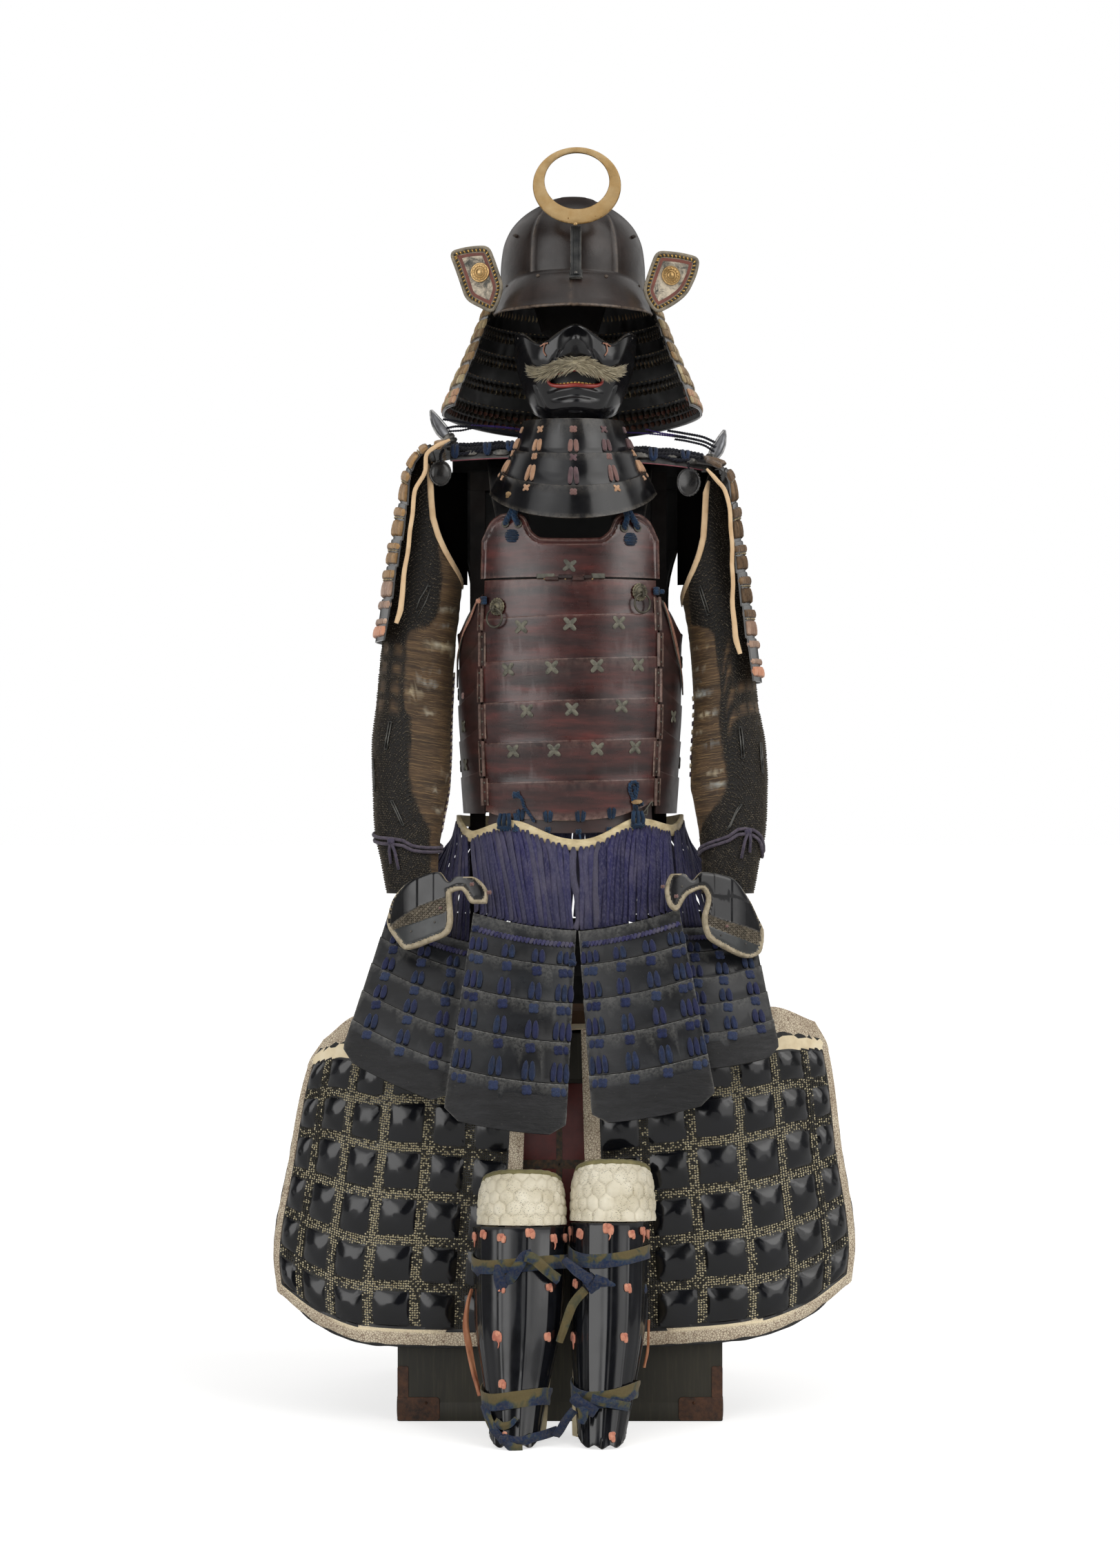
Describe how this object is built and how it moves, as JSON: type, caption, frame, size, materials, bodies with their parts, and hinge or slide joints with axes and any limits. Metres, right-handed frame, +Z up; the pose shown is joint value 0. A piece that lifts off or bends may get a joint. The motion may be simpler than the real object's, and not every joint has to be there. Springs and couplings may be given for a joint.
{
  "type": "samurai armour on its stand and armour box",
  "caption": "Laced Japanese armour with helmet, half mask, cuirass, sleeves, skirt, thigh and shin guards, set up on a wooden stand over its lacquered storage box.",
  "frame": {"origin": "on the floor, under the middle of the whole object's bounding box", "axes": "+Z up, the armour faces -Y, the wearer's left is +X"},
  "size_m": [0.79, 0.69, 1.723],
  "materials": {
    "lacquer_black": "black lacquer over iron and rawhide lames, glossy with dulled wear",
    "lacquer_brown": "dark brown lacquered iron, satin gloss",
    "lacquer_red": "red-brown lacquered iron, worn streaky to black",
    "gilt": "worn gilt brass, satin",
    "dark_steel": "dark browned iron, satin",
    "printed_leather": "smoked deerskin with a mottled grey-green ground",
    "white_leather": "pebbled cream leather",
    "horsehair": "pale grey-blond horsehair",
    "sleeve_silk": "brown silk worn to golden threads over cloth, with black mail",
    "silk_lacing": "tan silk lacing",
    "navy_cord": "faded indigo silk cord",
    "hemp_cloth": "cream hemp cloth",
    "quilted_cloth": "cream cloth quilted in hexagons, olive binding",
    "wood": "plain brown wood, matt",
    "chest": "dark lacquered wood with rusty iron corner fittings"
  },
  "bodies": {
    "armour": {"back_plate": "lacquer_black", "box_body": "chest", "box_lid": "chest", "chest_plate": "lacquer_red", "crest_holder": "dark_steel", "crest_ring": "gilt", "front_plate": "lacquer_red", "hand_guard_left": "lacquer_black", "hand_guard_right": "lacquer_black", "helmet_bowl": "lacquer_brown", "helmet_visor": "lacquer_brown", "knee_pad_left": "quilted_cloth", "knee_pad_right": "quilted_cloth", "mask_face": "lacquer_black", "mask_moustache": "horsehair", "neck_guard": "lacquer_black", "ring_base_left": "dark_steel", "ring_base_right": "dark_steel", "shin_cloth_left": "hemp_cloth", "shin_cloth_right": "hemp_cloth", "shin_guard_left": "lacquer_black", "shin_guard_right": "lacquer_black", "shin_tie_lower_left": "navy_cord", "shin_tie_lower_right": "navy_cord", "shin_tie_upper_left": "navy_cord", "shin_tie_upper_right": "navy_cord", "shoulder_guard_left": "silk_lacing", "shoulder_guard_right": "silk_lacing", "shoulder_strap_left": "lacquer_black", "shoulder_strap_right": "lacquer_black", "side_plate_left": "lacquer_red", "side_plate_right": "lacquer_red", "sleeve_left": "sleeve_silk", "sleeve_right": "sleeve_silk", "stand_base": "wood", "stand_head_post": "wood", "stand_post_left": "wood", "stand_post_right": "wood", "stand_shoulder_bar": "wood", "tasset_back_centre": "lacquer_black", "tasset_back_left": "lacquer_black", "tasset_back_right": "lacquer_black", "tasset_front_left": "lacquer_black", "tasset_front_right": "lacquer_black", "tasset_side_left": "lacquer_black", "tasset_side_right": "lacquer_black", "thigh_guard_belt": "hemp_cloth", "thigh_guard_left": "white_leather", "thigh_guard_right": "white_leather", "throat_guard": "lacquer_black", "waist_band": "white_leather", "waist_cords_back": "navy_cord", "waist_cords_front": "navy_cord", "waist_cords_left": "navy_cord", "waist_cords_right": "navy_cord", "wing_left": "printed_leather", "wing_right": "printed_leather"},
    "ring_left": {"ring_left": "dark_steel"},
    "ring_right": {"ring_right": "dark_steel"}
  },
  "joints": [
    {"name": "ring_left_swing", "type": "hinge", "parent": "armour", "child": "ring_left", "pos_m": [-0.0959, -0.09098, 1.09117], "axis": [-0.8229, 0.5682, 0], "range_deg": [0, 150]},
    {"name": "ring_right_swing", "type": "hinge", "parent": "armour", "child": "ring_right", "pos_m": [0.10557, -0.09186, 1.11117], "axis": [-0.8459, -0.5333, 0], "range_deg": [0, 150]}
  ]
}
